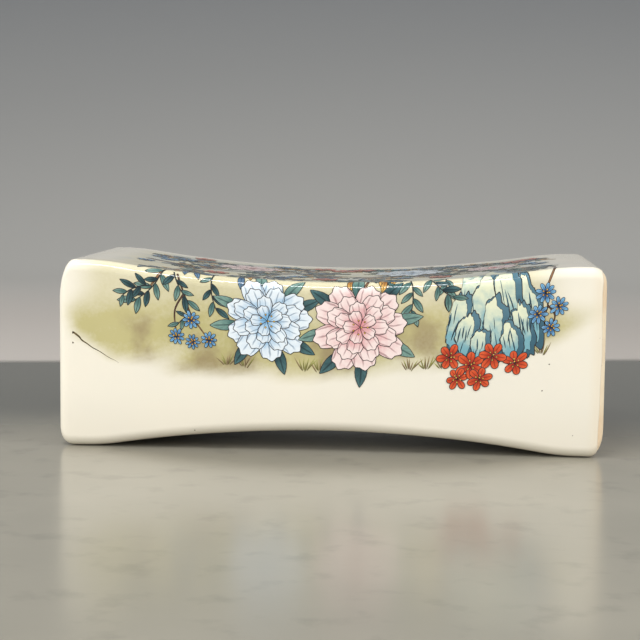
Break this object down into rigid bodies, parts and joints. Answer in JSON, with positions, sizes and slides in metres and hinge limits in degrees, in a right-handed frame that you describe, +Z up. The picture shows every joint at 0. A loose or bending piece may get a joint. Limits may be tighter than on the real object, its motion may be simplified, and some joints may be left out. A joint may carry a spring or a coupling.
{
  "type": "ceramic pillow",
  "caption": "Long hollow ceramic pillow with a dipped headrest, an arched base, rounded edges and a bare vented end.",
  "frame": {"origin": "middle of the footprint, on the plane that the feet stand on", "axes": "+X along the length towards the bare vented end, -Y out of the painted front, +Z up"},
  "size_m": [0.3, 0.13, 0.103],
  "materials": {
    "glazed_porcelain": "creamy white body under a glossy clear glaze, painted in overglaze enamels",
    "biscuit": "bare fired clay, matt, flushed tan towards the glaze",
    "slip_clay": "fired slip in the joints, matt",
    "coil_clay": "fired clay smoothed by finger, matt"
  },
  "bodies": {
    "root": {"front_wall": "glazed_porcelain", "back_wall": "glazed_porcelain", "headrest": "glazed_porcelain", "base": "glazed_porcelain", "left_end": "glazed_porcelain", "right_end": "biscuit", "slip_headrest_front": "slip_clay", "slip_headrest_back": "slip_clay", "slip_base_front": "slip_clay", "slip_base_back": "slip_clay", "slip_left_front": "slip_clay", "slip_left_back": "slip_clay", "slip_left_headrest": "slip_clay", "slip_left_base": "slip_clay", "slip_right_front": "slip_clay", "slip_right_back": "slip_clay", "slip_right_headrest": "slip_clay", "slip_right_base": "slip_clay", "coil_headrest_front": "coil_clay", "coil_headrest_back": "coil_clay", "coil_base_front": "coil_clay", "coil_base_back": "coil_clay", "coil_left_front": "coil_clay", "coil_left_back": "coil_clay", "coil_left_headrest": "coil_clay", "coil_left_base": "coil_clay"}
  },
  "joints": []
}
